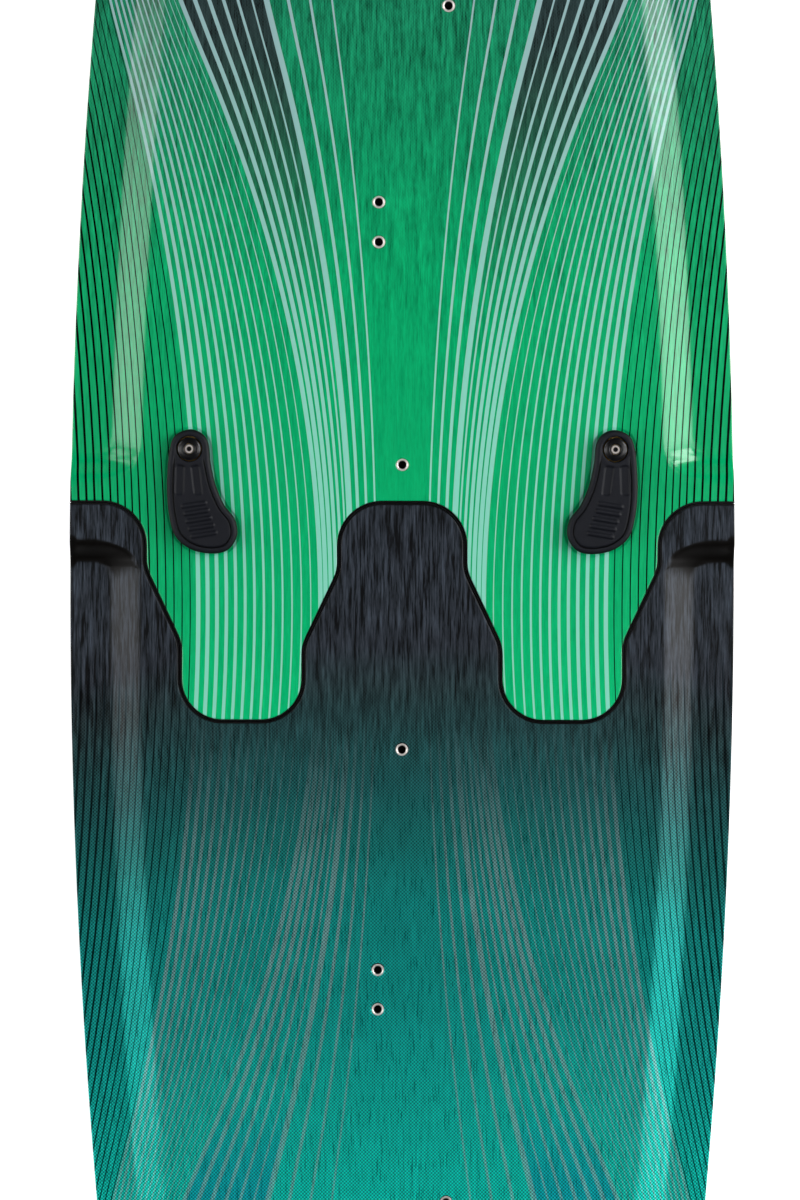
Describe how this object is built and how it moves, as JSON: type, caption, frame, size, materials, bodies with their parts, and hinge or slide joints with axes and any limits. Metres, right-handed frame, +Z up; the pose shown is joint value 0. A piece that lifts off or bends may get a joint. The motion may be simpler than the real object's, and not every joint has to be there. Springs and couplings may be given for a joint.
{
  "type": "split twin-tip kiteboard",
  "caption": "Two-piece twin-tip kiteboard whose halves lap along a wave-shaped joint and are clamped by two turning levers, with insert holes for pads and handle.",
  "frame": {"origin": "on the ground under the middle of the board, which stands on its fins; the joint's mean line crosses near it", "axes": "+X across the board to the rider's deck-side right with the nose up the page, +Y along the board towards the nose, +Z up out of the deck"},
  "size_m": [0.42, 1.38, 0.0671],
  "materials": {
    "wood_core": "light paulownia core, bare",
    "nose_deck_laminate": "satin printed laminate, green wood-grain print with fine stripes",
    "tail_deck_laminate": "satin printed laminate, charcoal grading to teal with fine stripes",
    "nose_base_laminate": "gloss printed laminate",
    "tail_base_laminate": "gloss printed laminate",
    "lap_laminate": "dark glass-fibre laminate",
    "edge_strip_plastic": "black ABS edge strip",
    "joint_edge_plastic": "black moulded edge strip",
    "fin_composite": "dark glass-fibre composite",
    "lever_rubber": "soft-touch moulding, matt",
    "cap_plastic": "glossy black",
    "track_steel": "stainless steel",
    "seat_brass": "machined brass",
    "stainless_steel": "machined stainless steel"
  },
  "bodies": {
    "nose_half": {"nose_core": "wood_core", "nose_deck": "nose_deck_laminate", "nose_base": "nose_base_laminate", "nose_lap_plate": "lap_laminate", "nose_tip_rail": "edge_strip_plastic", "nose_rail_left": "edge_strip_plastic", "nose_rail_right": "edge_strip_plastic", "nose_joint_edge": "joint_edge_plastic", "nose_handle_insert": "stainless_steel", "nose_pad_inserts": "stainless_steel", "nose_fin_left": "fin_composite", "nose_fin_right": "fin_composite", "nose_fin_screws": "stainless_steel", "nose_fin_washers": "stainless_steel", "left_lever_seat": "seat_brass", "right_lever_seat": "seat_brass"},
    "tail_half": {"tail_core": "wood_core", "tail_deck": "tail_deck_laminate", "tail_base": "tail_base_laminate", "tail_lap_plate": "lap_laminate", "tail_tip_rail": "edge_strip_plastic", "tail_rail_left": "edge_strip_plastic", "tail_rail_right": "edge_strip_plastic", "tail_joint_edge": "joint_edge_plastic", "tail_handle_insert": "stainless_steel", "tail_pad_inserts": "stainless_steel", "tail_fin_left": "fin_composite", "tail_fin_right": "fin_composite", "tail_fin_screws": "stainless_steel", "tail_fin_washers": "stainless_steel", "left_slot_track": "track_steel", "right_slot_track": "track_steel", "slot_track_screws": "stainless_steel"},
    "left_lever": {"left_lever": "lever_rubber", "left_lever_hub": "stainless_steel", "left_lever_cap": "cap_plastic", "left_lever_retaining_ring": "stainless_steel"},
    "right_lever": {"right_lever": "lever_rubber", "right_lever_hub": "stainless_steel", "right_lever_cap": "cap_plastic", "right_lever_retaining_ring": "stainless_steel"},
    "left_clamp_bolt": {"left_clamp_bolt": "stainless_steel"},
    "right_clamp_bolt": {"right_clamp_bolt": "stainless_steel"}
  },
  "joints": [
    {"name": "halves_slide", "type": "slide", "parent": "nose_half", "child": "tail_half", "axis": [0, -1, 0], "range_m": [0, 0.22]},
    {"name": "left_lever_turn", "type": "hinge", "parent": "nose_half", "child": "left_lever", "pos_m": [-0.134, 0.1, 0.04], "axis": [0, 0, 1], "range_deg": [-100, 0]},
    {"name": "right_lever_turn", "type": "hinge", "parent": "nose_half", "child": "right_lever", "pos_m": [0.134, 0.1, 0.04], "axis": [0, 0, 1], "range_deg": [0, 100]},
    {"name": "left_bolt_draw", "type": "slide", "parent": "nose_half", "child": "left_clamp_bolt", "axis": [0, 0, -1], "range_m": [0, 0.0012]},
    {"name": "right_bolt_draw", "type": "slide", "parent": "nose_half", "child": "right_clamp_bolt", "axis": [0, 0, -1], "range_m": [0, 0.0012]}
  ],
  "couplings": [
    {"joint": "left_bolt_draw", "follows": "left_lever_turn", "m_per_rad": -0.000637},
    {"joint": "right_bolt_draw", "follows": "right_lever_turn", "m_per_rad": 0.000637}
  ]
}
